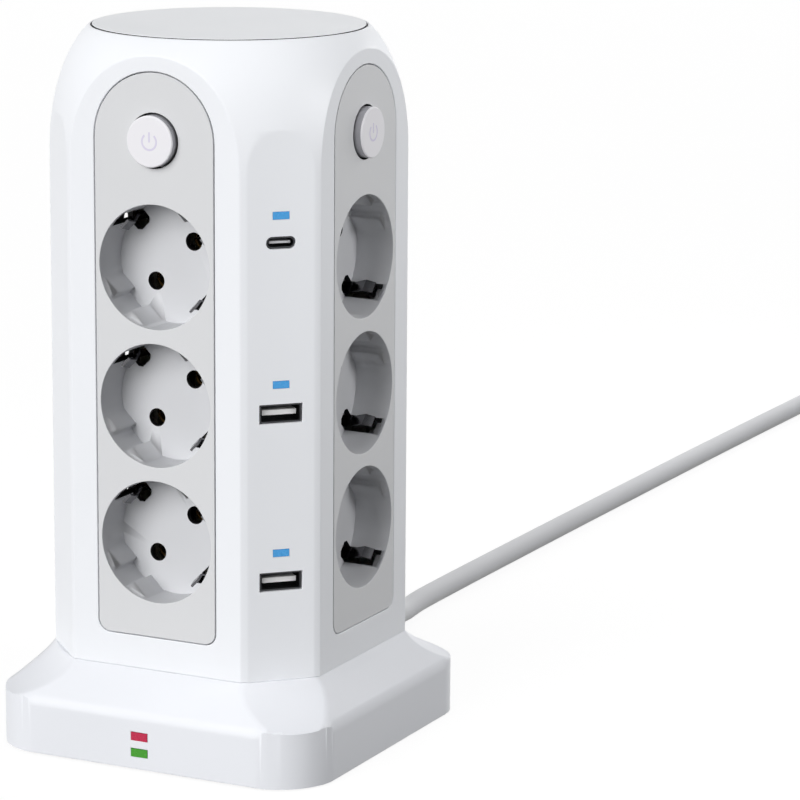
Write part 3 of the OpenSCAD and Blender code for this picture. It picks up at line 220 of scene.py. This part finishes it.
def moulded_plastic(name, colour, rough=0.4, grain=0.12, coat=0.0):
    """Injection moulded plastic: fine spark-eroded grain and faint flow marks."""
    material, tree, shader = new_material(name)
    flow = noise(tree, 14, 3.0)
    rubbed = noise(tree, 60)
    pits = noise(tree, 5200)
    tree.links.new(toned(tree, flow, colour, 0.012, 0.012), shader.inputs["Base Color"])
    tree.links.new(spread(tree, rubbed, rough - 0.03, rough + 0.04), shader.inputs["Roughness"])
    shader.inputs["Coat Weight"].default_value = coat
    shader.inputs["Coat Roughness"].default_value = 0.25
    shader.inputs["Specular IOR Level"].default_value = 0.3
    add_bump(tree, shader, pits, grain, 0.00004)
    return material


def strip_metal(name, colour, rough):
    """Rolled or drawn metal, with faint lines along its length and a patchy tarnish."""
    material, tree, shader = new_material(name)
    lines = noise(tree, 9000, stretch=(1, 1, 0.04))
    tarnish = noise(tree, 220, 3.0)
    tree.links.new(toned(tree, tarnish, colour, 0.08, 0.08), shader.inputs["Base Color"])
    tree.links.new(spread(tree, lines, rough - 0.06, rough + 0.1), shader.inputs["Roughness"])
    shader.inputs["Metallic"].default_value = 1.0
    add_bump(tree, shader, lines, 0.15, 0.00002)
    return material


def lit_lens(name, colour, glow):
    """Clear coloured plastic with a weak light behind it, and a little uneven, as frosted lenses are."""
    material, tree, shader = new_material(name)
    frost = noise(tree, 900, 1.0, (1, 1, 3))
    wear = noise(tree, 400)
    uneven = toned(tree, frost, colour, 0.05, 0.05)
    tree.links.new(uneven, shader.inputs["Base Color"])
    tree.links.new(uneven, shader.inputs["Emission Color"])
    shader.inputs["Emission Strength"].default_value = glow
    tree.links.new(spread(tree, wear, 0.2, 0.3), shader.inputs["Roughness"])
    return material


def rubber(name, colour):
    """Soft matt rubber with a dusty, pebbled skin."""
    material, tree, shader = new_material(name)
    dust = noise(tree, 160, 4.0)
    scuffs = noise(tree, 700)
    pebbles = noise(tree, 2600, 3.0)
    tree.links.new(toned(tree, dust, colour, 0.1, 0.25), shader.inputs["Base Color"])
    tree.links.new(spread(tree, scuffs, 0.75, 0.9), shader.inputs["Roughness"])
    add_bump(tree, shader, pebbles, 0.4, 0.0001)
    return material


def circuit_board(name, colour, copper):
    """Board with a lacquer over faint copper tracks."""
    material, tree, shader = new_material(name)
    where = tree.nodes.new("ShaderNodeTexCoord")
    tracks = tree.nodes.new("ShaderNodeTexVoronoi")
    tracks.distance = "MANHATTAN"
    tracks.inputs["Scale"].default_value = 260
    tree.links.new(where.outputs["Object"], tracks.inputs["Vector"])
    lacquered = two_tones(tree, spread(tree, tracks.outputs["Distance"], 0, 1), colour, copper)
    tree.links.new(lacquered, shader.inputs["Base Color"])
    shader.inputs["Roughness"].default_value = 0.35
    shader.inputs["Coat Weight"].default_value = 0.3
    add_bump(tree, shader, tracks.outputs["Distance"], 0.2, 0.00005)
    return material


def cord_sheath(name, colour):
    """Smooth extruded sheath: even colour, soft sheen and a very faint unevenness."""
    material, tree, shader = new_material(name)
    cloudy = noise(tree, 30, 3.0)
    handled = noise(tree, 120)
    drawn = noise(tree, 700, 1.0)
    tree.links.new(toned(tree, cloudy, colour, 0.015, 0.015), shader.inputs["Base Color"])
    tree.links.new(spread(tree, handled, 0.42, 0.52), shader.inputs["Roughness"])
    add_bump(tree, shader, drawn, 0.03, 0.00004)
    return material


def fuse_glass(name, colour):
    """Thin glass with a faint tint."""
    material, tree, shader = new_material(name)
    tree.links.new(toned(tree, noise(tree, 90), colour, 0.05, 0.05), shader.inputs["Base Color"])
    shader.inputs["Roughness"].default_value = 0.08
    shader.inputs["Transmission Weight"].default_value = 0.6
    shader.inputs["IOR"].default_value = 1.5
    return material


# One finish for each slot of the record
materials = {
    "body": moulded_plastic("body_white", linear(243, 245, 249), 0.38),
    "lid": moulded_plastic("lid_white", linear(239, 241, 244), 0.42, grain=0.02),
    "panel": moulded_plastic("panel_grey", linear(219, 220, 222), 0.45, grain=0.2),
    "button": moulded_plastic("button_white", linear(240, 239, 243), 0.35),
    "plate": moulded_plastic("base_plate_grey", linear(215, 216, 218), 0.5, grain=0.25),
    "foot": rubber("foot_rubber", linear(60, 60, 62)),
    "screw": strip_metal("zinc_screw", linear(190, 190, 192), 0.35),
    "switch": moulded_plastic("switch_black", linear(38, 38, 40), 0.4),
    "cover": moulded_plastic("cover_natural", linear(226, 221, 205), 0.5),
    # Contacts, earth strips and USB shells are much darker than the bare metals: painted shade of the holes
    # and outlets they sit in
    "contact": strip_metal("contact_brass_painted_shade", linear(92, 70, 36), 0.4),
    "earth": strip_metal("earth_strip_painted_shade", linear(96, 96, 99), 0.16),
    "usb_steel": strip_metal("usb_shell_steel_painted_shade", linear(74, 75, 78), 0.3),
    "usb_white": moulded_plastic("usb_tongue_white", linear(240, 240, 240), 0.4),
    "usb_grey": moulded_plastic("usb_tongue_grey", linear(205, 205, 208), 0.35),
    "blue_guide": lit_lens("blue_light_guide", linear(70, 158, 222), 0.08),
    "red_lens": lit_lens("red_lamp_lens", linear(184, 20, 66), 0.05),
    "green_lens": lit_lens("green_lamp_lens", linear(54, 146, 20), 0.05),
    "board": circuit_board("green_board", linear(22, 84, 44), linear(52, 120, 64)),
    "component": moulded_plastic("component_case", linear(214, 160, 52), 0.4),
    "varistor": moulded_plastic("varistor_epoxy", linear(38, 74, 150), 0.3, coat=0.3),
    "terminal": moulded_plastic("terminal_natural", linear(232, 228, 214), 0.5),
    "fuse": fuse_glass("fuse_glass", linear(214, 224, 232)),
    "live_sheath": cord_sheath("live_brown", linear(104, 62, 34)),
    "neutral_sheath": cord_sheath("neutral_blue", linear(34, 84, 170)),
    "earth_sheath": cord_sheath("earth_green", linear(120, 164, 48)),
    "cord": cord_sheath("cord_white", linear(218, 219, 222)),
    "plug": moulded_plastic("plug_white", linear(238, 239, 241), 0.4),
    "pin": strip_metal("pin_nickel", linear(205, 204, 200), 0.18),
}

# Further finishes on single pieces and on parts of pieces: painted shade on the base, in the bores, in the
# wells, on the lid's rim wall and on the button sides, and the ink of the mark
# Painted shade: the column's white made a shade darker for the base, which is the same plastic
base_white_painted_shade = moulded_plastic("base_white_painted_shade", linear(235, 237, 242), 0.38)
# Black painted shade for the insides of pin holes, earth slots and button bores and for the lid's rim wall;
# the plastic there is not dark
painted_shade_black = moulded_plastic("painted_shade_black", linear(22, 22, 24), 0.6)
# Painted shade: the panel's grey made darker for the walls and floors of the wells, which are one moulding
# with the panel
well_painted_shade = moulded_plastic("well_painted_shade", linear(206, 207, 210), 0.5, grain=0.2)
# Painted shade: the button's white made grey for its sides, which are the same plastic as the cap
button_painted_shade = moulded_plastic("button_side_grey", linear(176, 176, 182), 0.4)
mark_ink = moulded_plastic("mark_ink_lavender", linear(218, 213, 232), 0.5)

# Places and sizes of the solids, in metres, as in the CAD; those of wells and buttons are in a face's own
# frame, which runs across it, up it and out from it
COLUMN_FACE_OUT = 0.04825
COLUMN_CORNER_OUT = 0.0558
COLUMN_ROUND_R = 0.05675
COLUMN_FOOT_Z = 0.0303
COLUMN_TOP_Z = 0.229
BASE_HALF_W = 0.05835
BASE_SHOULDER_Z = 0.0181
BASE_TOP_INNER_R = 0.04
WELL_HEIGHTS = (0.0718, 0.1153, 0.1588)
WELL_TURN = math.radians(45)
WELL_DEPTH = 0.013
WELL_LIP = 0.0005
WELL_OUTER_R = 0.0212
PIN_OFFSET = 0.0095
PIN_HOLE_R = 0.0029
EARTH_SLOT_HALF_W = 0.003
EARTH_SLOT_INNER = 0.0146
EARTH_SLOT_TOP = 0.0016
BUTTON_HEIGHT = 0.1981
BUTTON_HOLE_R = 0.0086
BUTTON_BORE_DEPTH = 0.005
BUTTON_PROUD = 0.0026
# Depth of the cap's white edge; below it the button is painted grey as shade
BUTTON_WHITE_EDGE = 0.0006

# The visible lid, whose rim stands just clear of the column; the rim's wall is painted black as the shade of
# the gap
LID_R = 0.04305
LID_CUT_Z = 0.2278
LID_RIM_Z = 0.22935
LID_RIM_W = 0.010
LID_CROWN = 0.0004
LID_SIDES = 128
# Rim faces steeper than this slope get the black painted shade
LID_WALL_SLOPE = 0.2

# Radii of the moulded edges
COLUMN_EDGE_R = 0.0003
BASE_SHOULDER_R = 0.0022
BASE_EDGE_R = 0.00025
PANEL_EDGE_R = 0.00022
BUTTON_EDGE_R = 0.00025
LID_EDGE_R = 0.0002
EDGE_SEGMENTS = 2
SHOULDER_SEGMENTS = 4

# How near counts as on a surface, and from which angles a face is bent, an edge sharp and a shade broken
NEAR = 0.00012
MERGE_DISTANCE = 1e-6
FLAT_ANGLE = math.radians(0.4)
CREASE_ANGLE = math.radians(26)
SMOOTH_ANGLE = math.radians(34)


def merged_copy(node):
    """A copy of the node's solid, its loose triangles joined into whole faces."""
    bm = bmesh.new()
    bm.from_mesh(nodes[node].data)
    bmesh.ops.remove_doubles(bm, verts=bm.verts, dist=MERGE_DISTANCE)
    bmesh.ops.dissolve_limit(bm, angle_limit=FLAT_ANGLE, verts=bm.verts, edges=bm.edges,
                             use_dissolve_boundaries=False, delimit=set())
    return bm


def round_edges(bm, radius, wanted, segments=EDGE_SEGMENTS):
    """Rounds the sharp edges whose middle passes the test."""
    edges = [e for e in bm.edges if len(e.link_faces) == 2 and e.calc_face_angle(0) > CREASE_ANGLE
             and wanted((e.verts[0].co + e.verts[1].co) / 2)]
    bmesh.ops.bevel(bm, geom=edges, offset=radius, offset_type="OFFSET", affect="EDGES",
                    segments=segments, profile=0.5, material=-1, clamp_overlap=False, loop_slide=True)


def add_piece(bm, name, slot, body=TOWER, replaced=()):
    """Puts a mesh in the scene with its material, body and shading."""
    mesh = bpy.data.meshes.new(name)
    bm.to_mesh(mesh)
    bm.free()
    piece = bpy.data.objects.new(name, mesh)
    bpy.context.collection.objects.link(piece)
    mesh.materials.append(materials[slot])
    mesh.shade_smooth()
    mesh.set_sharp_from_angle(angle=SMOOTH_ANGLE)
    weigh = piece.modifiers.new("even_faces", "WEIGHTED_NORMAL")
    weigh.keep_sharp = True
    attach(piece, body)
    if replaced:
        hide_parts(*replaced)
    return piece


def face_frame(k):
    """Face k's frame: across, up and out from the face, which is its zero."""
    upright = Matrix(((1, 0, 0), (0, 0, -1), (0, 1, 0))).to_4x4()
    turn = Matrix.Rotation(math.radians(90 * k), 4, "Z")
    return turn @ Matrix.Translation((0, -COLUMN_FACE_OUT, 0)) @ upright


def in_well(place, height):
    """A point of a face's frame, seen from the middle of the well at that height and along its pins."""
    return Matrix.Rotation(-WELL_TURN, 3, "Z") @ (place - Vector((0, height, 0)))


def from_side(place):
    """How far out a point is towards the nearest side."""
    return max(abs(place.x), abs(place.y))


def from_corner(place):
    """How far out a point is towards the nearest corner face."""
    return (abs(place.x) + abs(place.y)) / math.sqrt(2)


def on_column(place):
    """True on the column's outer surface."""
    out = max(from_side(place) - COLUMN_FACE_OUT, from_corner(place) - COLUMN_CORNER_OUT,
              place.xy.length - COLUMN_ROUND_R)
    return out > -NEAR or place.z > COLUMN_TOP_Z - NEAR


def add_tower_shell():
    """The column, its outer edges softened as a mould leaves them; the outlets' holes stay crisp."""
    bm = merged_copy("tower_shell")

    def softened(place):
        on_corner_face = from_corner(place) > COLUMN_CORNER_OUT - NEAR
        upright = COLUMN_FOOT_Z + NEAR < place.z < COLUMN_TOP_Z - NEAR
        return on_column(place) and not (on_corner_face and upright)

    round_edges(bm, COLUMN_EDGE_R, softened)
    add_piece(bm, "column_skin", "body", replaced=["tower_shell"])


def add_base():
    """The base, with the broad soft edge between its walls and its skirt, its white painted a shade darker
    than the column's as shade.
    """
    bm = merged_copy("base_housing")

    def on_wall(place):
        return from_side(place) > BASE_HALF_W - NEAR

    def on_shoulder(place):
        return abs(place.z - BASE_SHOULDER_Z) < NEAR and on_wall(place)

    def outside(place):
        on_top = place.z > COLUMN_FOOT_Z - NEAR and place.xy.length > BASE_TOP_INNER_R
        return on_top or on_wall(place)

    round_edges(bm, BASE_SHOULDER_R, on_shoulder, SHOULDER_SEGMENTS)
    round_edges(bm, BASE_EDGE_R, outside)
    base = add_piece(bm, "base_skin", "body", replaced=["base_housing"])
    # The base gets the darker white: painted shade
    base.data.materials[0] = base_white_painted_shade


def add_lid():
    """The lid: its hooks as in the CAD, and above them a rim whose wall is painted black as the shade of the
    gap, and a slightly sloped top.
    """
    bm = merged_copy("top_lid")
    bmesh.ops.bisect_plane(bm, geom=bm.verts[:] + bm.edges[:] + bm.faces[:], plane_co=(0, 0, LID_CUT_Z),
                           plane_no=(0, 0, 1), clear_outer=True)
    bmesh.ops.contextual_create(bm, geom=[e for e in bm.edges if e.is_boundary])

    disc = bmesh.ops.create_circle(bm, cap_ends=True, radius=LID_R, segments=LID_SIDES)["verts"]
    bmesh.ops.translate(bm, verts=disc, vec=(0, 0, LID_CUT_Z))
    grown = bmesh.ops.extrude_face_region(bm, geom=disc[0].link_faces[:])["geom"]
    raised = [v for v in grown if isinstance(v, bmesh.types.BMVert)]
    bmesh.ops.translate(bm, verts=raised, vec=(0, 0, LID_RIM_Z - LID_CUT_Z))
    top = [f for f in grown if isinstance(f, bmesh.types.BMFace)]
    bmesh.ops.inset_region(bm, faces=top, thickness=LID_RIM_W, depth=LID_CROWN)
    bmesh.ops.recalc_face_normals(bm, faces=bm.faces)
    round_edges(bm, LID_EDGE_R, lambda place: place.z > LID_RIM_Z - NEAR)
    # The rim's outer wall is painted black: painted shade of the gap round the lid
    for f in bm.faces:
        centre = f.calc_center_median()
        on_rim = centre.z > LID_CUT_Z and centre.xy.length > LID_R - NEAR
        f.material_index = int(on_rim and f.normal.z < LID_WALL_SLOPE)
    lid = add_piece(bm, "lid_skin", "lid", replaced=["top_lid"])
    lid.data.materials.append(painted_shade_black)


def is_painted_shade_bore(place):
    """True inside a pin hole, an earth slot or the bore of a button, in a face's frame: where the black
    painted shade goes.
    """
    if math.hypot(place.x, place.y - BUTTON_HEIGHT) < BUTTON_HOLE_R + NEAR:
        return -BUTTON_BORE_DEPTH - NEAR < place.z < -NEAR
    for height in WELL_HEIGHTS:
        local = in_well(place, height)
        if local.xy.length > WELL_OUTER_R:
            continue
        if math.hypot(abs(local.x) - PIN_OFFSET, local.y) < PIN_HOLE_R + NEAR:
            return place.z < -WELL_DEPTH - NEAR
        if abs(local.x) < EARTH_SLOT_HALF_W + NEAR and abs(local.y) > EARTH_SLOT_INNER - NEAR:
            return place.z < -EARTH_SLOT_TOP + NEAR
    return False


def is_inside_well(place):
    """True on the walls and the floor of a well, in a face's frame: where the grey painted shade goes."""
    below_lip = place.z < -WELL_LIP
    return below_lip and any(in_well(place, height).xy.length < WELL_OUTER_R for height in WELL_HEIGHTS)


def add_panels():
    """The arched panels: soft rims, wells, and the bores for pins, earth clips and buttons painted black as
    shade.
    """
    for k, face in enumerate(FACES):
        bm = merged_copy(f"{face}_socket_panel")
        into_face = face_frame(k).inverted()
        round_edges(bm, PANEL_EDGE_R, lambda place: (into_face @ place).z > -NEAR)
        for f in bm.faces:
            place = into_face @ f.calc_center_median()
            # Bores get the black painted shade, the wells' walls and floors the grey painted shade
            if is_painted_shade_bore(place):
                f.material_index = 1
            elif is_inside_well(place):
                f.material_index = 2
        panel = add_piece(bm, f"{face}_panel_skin", "panel", replaced=[f"{face}_socket_panel"])
        panel.data.materials.append(painted_shade_black)
        panel.data.materials.append(well_painted_shade)


def add_buttons():
    """The push buttons: a white cap, and below its white edge sides and body painted grey as shade."""
    for k, face in enumerate(FACES):
        bm = merged_copy(f"{face}_button")
        into_face = face_frame(k).inverted()
        round_edges(bm, BUTTON_EDGE_R, lambda place: (into_face @ place).z > BUTTON_PROUD - NEAR)
        for f in bm.faces:
            place = into_face @ f.calc_center_median()
            # Faces below the white edge get the grey painted shade
            f.material_index = int(place.z < BUTTON_PROUD - BUTTON_WHITE_EDGE)
        cap = add_piece(bm, f"{face}_button_cap", "button", f"{face}_button_body",
                        replaced=[f"{face}_button"])
        cap.data.materials.append(button_painted_shade)


# Standby mark on a button: an open ring and a bar
MARK_R = 0.0025
MARK_LINE = 0.00062
MARK_LIFT = 0.00002
MARK_GAP = math.radians(80)
MARK_STEPS = 40
MARK_BAR_LENGTH = 0.0031
MARK_BAR_UP = 0.0014
MARK_THICK = 0.00008


def add_standby_marks():
    """The generic standby mark, printed on each button."""
    for k, face in enumerate(FACES):
        bm = bmesh.new()
        start = math.pi / 2 + MARK_GAP / 2
        line = [bm.verts.new((r * math.cos(start), r * math.sin(start), 0))
                for r in (MARK_R - MARK_LINE / 2, MARK_R + MARK_LINE / 2)]
        edge = bm.edges.new(line)
        bmesh.ops.spin(bm, geom=[edge], axis=(0, 0, 1), angle=math.tau - MARK_GAP, steps=MARK_STEPS)
        bar = bmesh.ops.create_grid(bm, x_segments=1, y_segments=1, size=0.5)["verts"]
        bmesh.ops.scale(bm, verts=bar, vec=(MARK_LINE, MARK_BAR_LENGTH, 1))
        bmesh.ops.translate(bm, verts=bar, vec=(0, MARK_BAR_UP, 0))
        bmesh.ops.solidify(bm, geom=bm.faces[:], thickness=MARK_THICK)
        bmesh.ops.recalc_face_normals(bm, faces=bm.faces)
        place = face_frame(k) @ Matrix.Translation((0, BUTTON_HEIGHT, BUTTON_PROUD + MARK_LIFT))
        bmesh.ops.transform(bm, matrix=place, verts=bm.verts)
        mark = add_piece(bm, f"{face}_standby_mark", "button", f"{face}_button_body")
        mark.data.materials[0] = mark_ink


# Studio: levels of 1 are white, sizes in metres
WORLD_LIGHT = 0.14
FLOOR_TONE = (0.12, 0.12, 0.12)
FLOOR_GLOW = 0.9
FLOOR_R = 30
FLOOR_SIDES = 64
LAMP_W = 0.2


def seen_directly(tree):
    """1 where the camera, a gloss or clear plastic sees the surface, 0 where it lights the object."""
    path = tree.nodes.new("ShaderNodeLightPath")
    seen = path.outputs["Is Camera Ray"]
    for ray in ("Is Glossy Ray", "Is Transmission Ray"):
        either = tree.nodes.new("ShaderNodeMath")
        either.operation = "MAXIMUM"
        tree.links.new(seen, either.inputs[0])
        tree.links.new(path.outputs[ray], either.inputs[1])
        seen = either.outputs[0]
    return seen


def add_floor():
    """White floor that keeps the object's shadow but shows as white round it."""
    material, tree, shader = new_material("white_floor")
    tree.links.new(toned(tree, noise(tree, 3), FLOOR_TONE, 0.03, 0.03), shader.inputs["Base Color"])
    shader.inputs["Roughness"].default_value = 0.9
    shader.inputs["Specular IOR Level"].default_value = 0.1
    strength = tree.nodes.new("ShaderNodeMath")
    strength.operation = "MULTIPLY"
    strength.inputs[1].default_value = FLOOR_GLOW
    tree.links.new(seen_directly(tree), strength.inputs[0])
    shader.inputs["Emission Color"].default_value = (1, 1, 1, 1)
    tree.links.new(strength.outputs[0], shader.inputs["Emission Strength"])
    bm = bmesh.new()
    bmesh.ops.create_circle(bm, cap_ends=True, radius=FLOOR_R, segments=FLOOR_SIDES)
    mesh = bpy.data.meshes.new("floor")
    bm.to_mesh(mesh)
    bm.free()
    floor = bpy.data.objects.new("floor", mesh)
    bpy.context.collection.objects.link(floor)
    mesh.materials.append(material)


def add_world():
    """Even studio light, seen as white."""
    world = bpy.data.worlds.new("studio")
    bpy.context.scene.world = world
    world.use_nodes = True
    tree = world.node_tree
    tree.nodes.clear()
    light = tree.nodes.new("ShaderNodeBackground")
    light.inputs["Color"].default_value = (1, 1, 1, 1)
    light.inputs["Strength"].default_value = WORLD_LIGHT
    white = tree.nodes.new("ShaderNodeBackground")
    white.inputs["Color"].default_value = (1, 1, 1, 1)
    white.inputs["Strength"].default_value = 1.0
    mix = tree.nodes.new("ShaderNodeMixShader")
    out = tree.nodes.new("ShaderNodeOutputWorld")
    tree.links.new(seen_directly(tree), mix.inputs["Fac"])
    tree.links.new(light.outputs[0], mix.inputs[1])
    tree.links.new(white.outputs[0], mix.inputs[2])
    tree.links.new(mix.outputs[0], out.inputs["Surface"])


def add_far_light(name, azimuth, elevation, strength, softness, mirrored=True):
    """Soft light from far off, azimuth counted from the front to the right. Gloss shows it where mirrored."""
    data = bpy.data.lights.new(name, "SUN")
    data.energy = strength
    data.angle = math.radians(softness)
    lamp = bpy.data.objects.new(name, data)
    bpy.context.collection.objects.link(lamp)
    lamp.visible_glossy = mirrored
    toward = Vector((
        math.sin(math.radians(azimuth)) * math.cos(math.radians(elevation)),
        -math.cos(math.radians(azimuth)) * math.cos(math.radians(elevation)),
        math.sin(math.radians(elevation)),
    ))
    lamp.rotation_euler = toward.to_track_quat("Z", "Y").to_euler()


def add_near_light(name, place, target, power):
    """Soft round lamp close to the tower, so that what lies further off gets less of it."""
    data = bpy.data.lights.new(name, "AREA")
    data.shape = "DISK"
    data.energy = power
    data.size = LAMP_W
    lamp = bpy.data.objects.new(name, data)
    bpy.context.collection.objects.link(lamp)
    lamp.visible_camera = False
    lamp.location = place
    lamp.rotation_euler = (Vector(place) - Vector(target)).to_track_quat("Z", "Y").to_euler()


def add_lights():
    """A key from the left, lamps over the lid, beside the tower and beside the cord, and a light behind."""
    add_far_light("key", azimuth=-16, elevation=20, strength=3.04, softness=50)
    add_near_light("top", place=(0, 0, 0.6), target=(0, 0, 0.2), power=0.15)
    add_near_light("side", place=(0.5, 0.02, 0.32), target=(0.05, 0, 0.2), power=1.07)
    add_near_light("cord_side", place=(0.2, 0.48, 0.33), target=(0, 0.36, 0), power=0.48)
    add_far_light("back", azimuth=186, elevation=8, strength=1.5, softness=30, mirrored=False)


def finish_nodes():
    """Each node gets the finish of its slot."""
    slot_of = {part["node"]: part["material_slot"] for part in frame["record"]["subparts"]}
    for name, node in nodes.items():
        node.data.materials.clear()
        node.data.materials.append(materials[slot_of[name]])


def main():
    bpy.context.scene.view_settings.view_transform = "Standard"
    add_camera()
    cord = add_cord(materials["cord"])
    finish_nodes()
    add_tower_shell()
    add_base()
    add_lid()
    add_panels()
    add_buttons()
    add_standby_marks()
    add_floor()
    add_world()
    add_lights()


main()
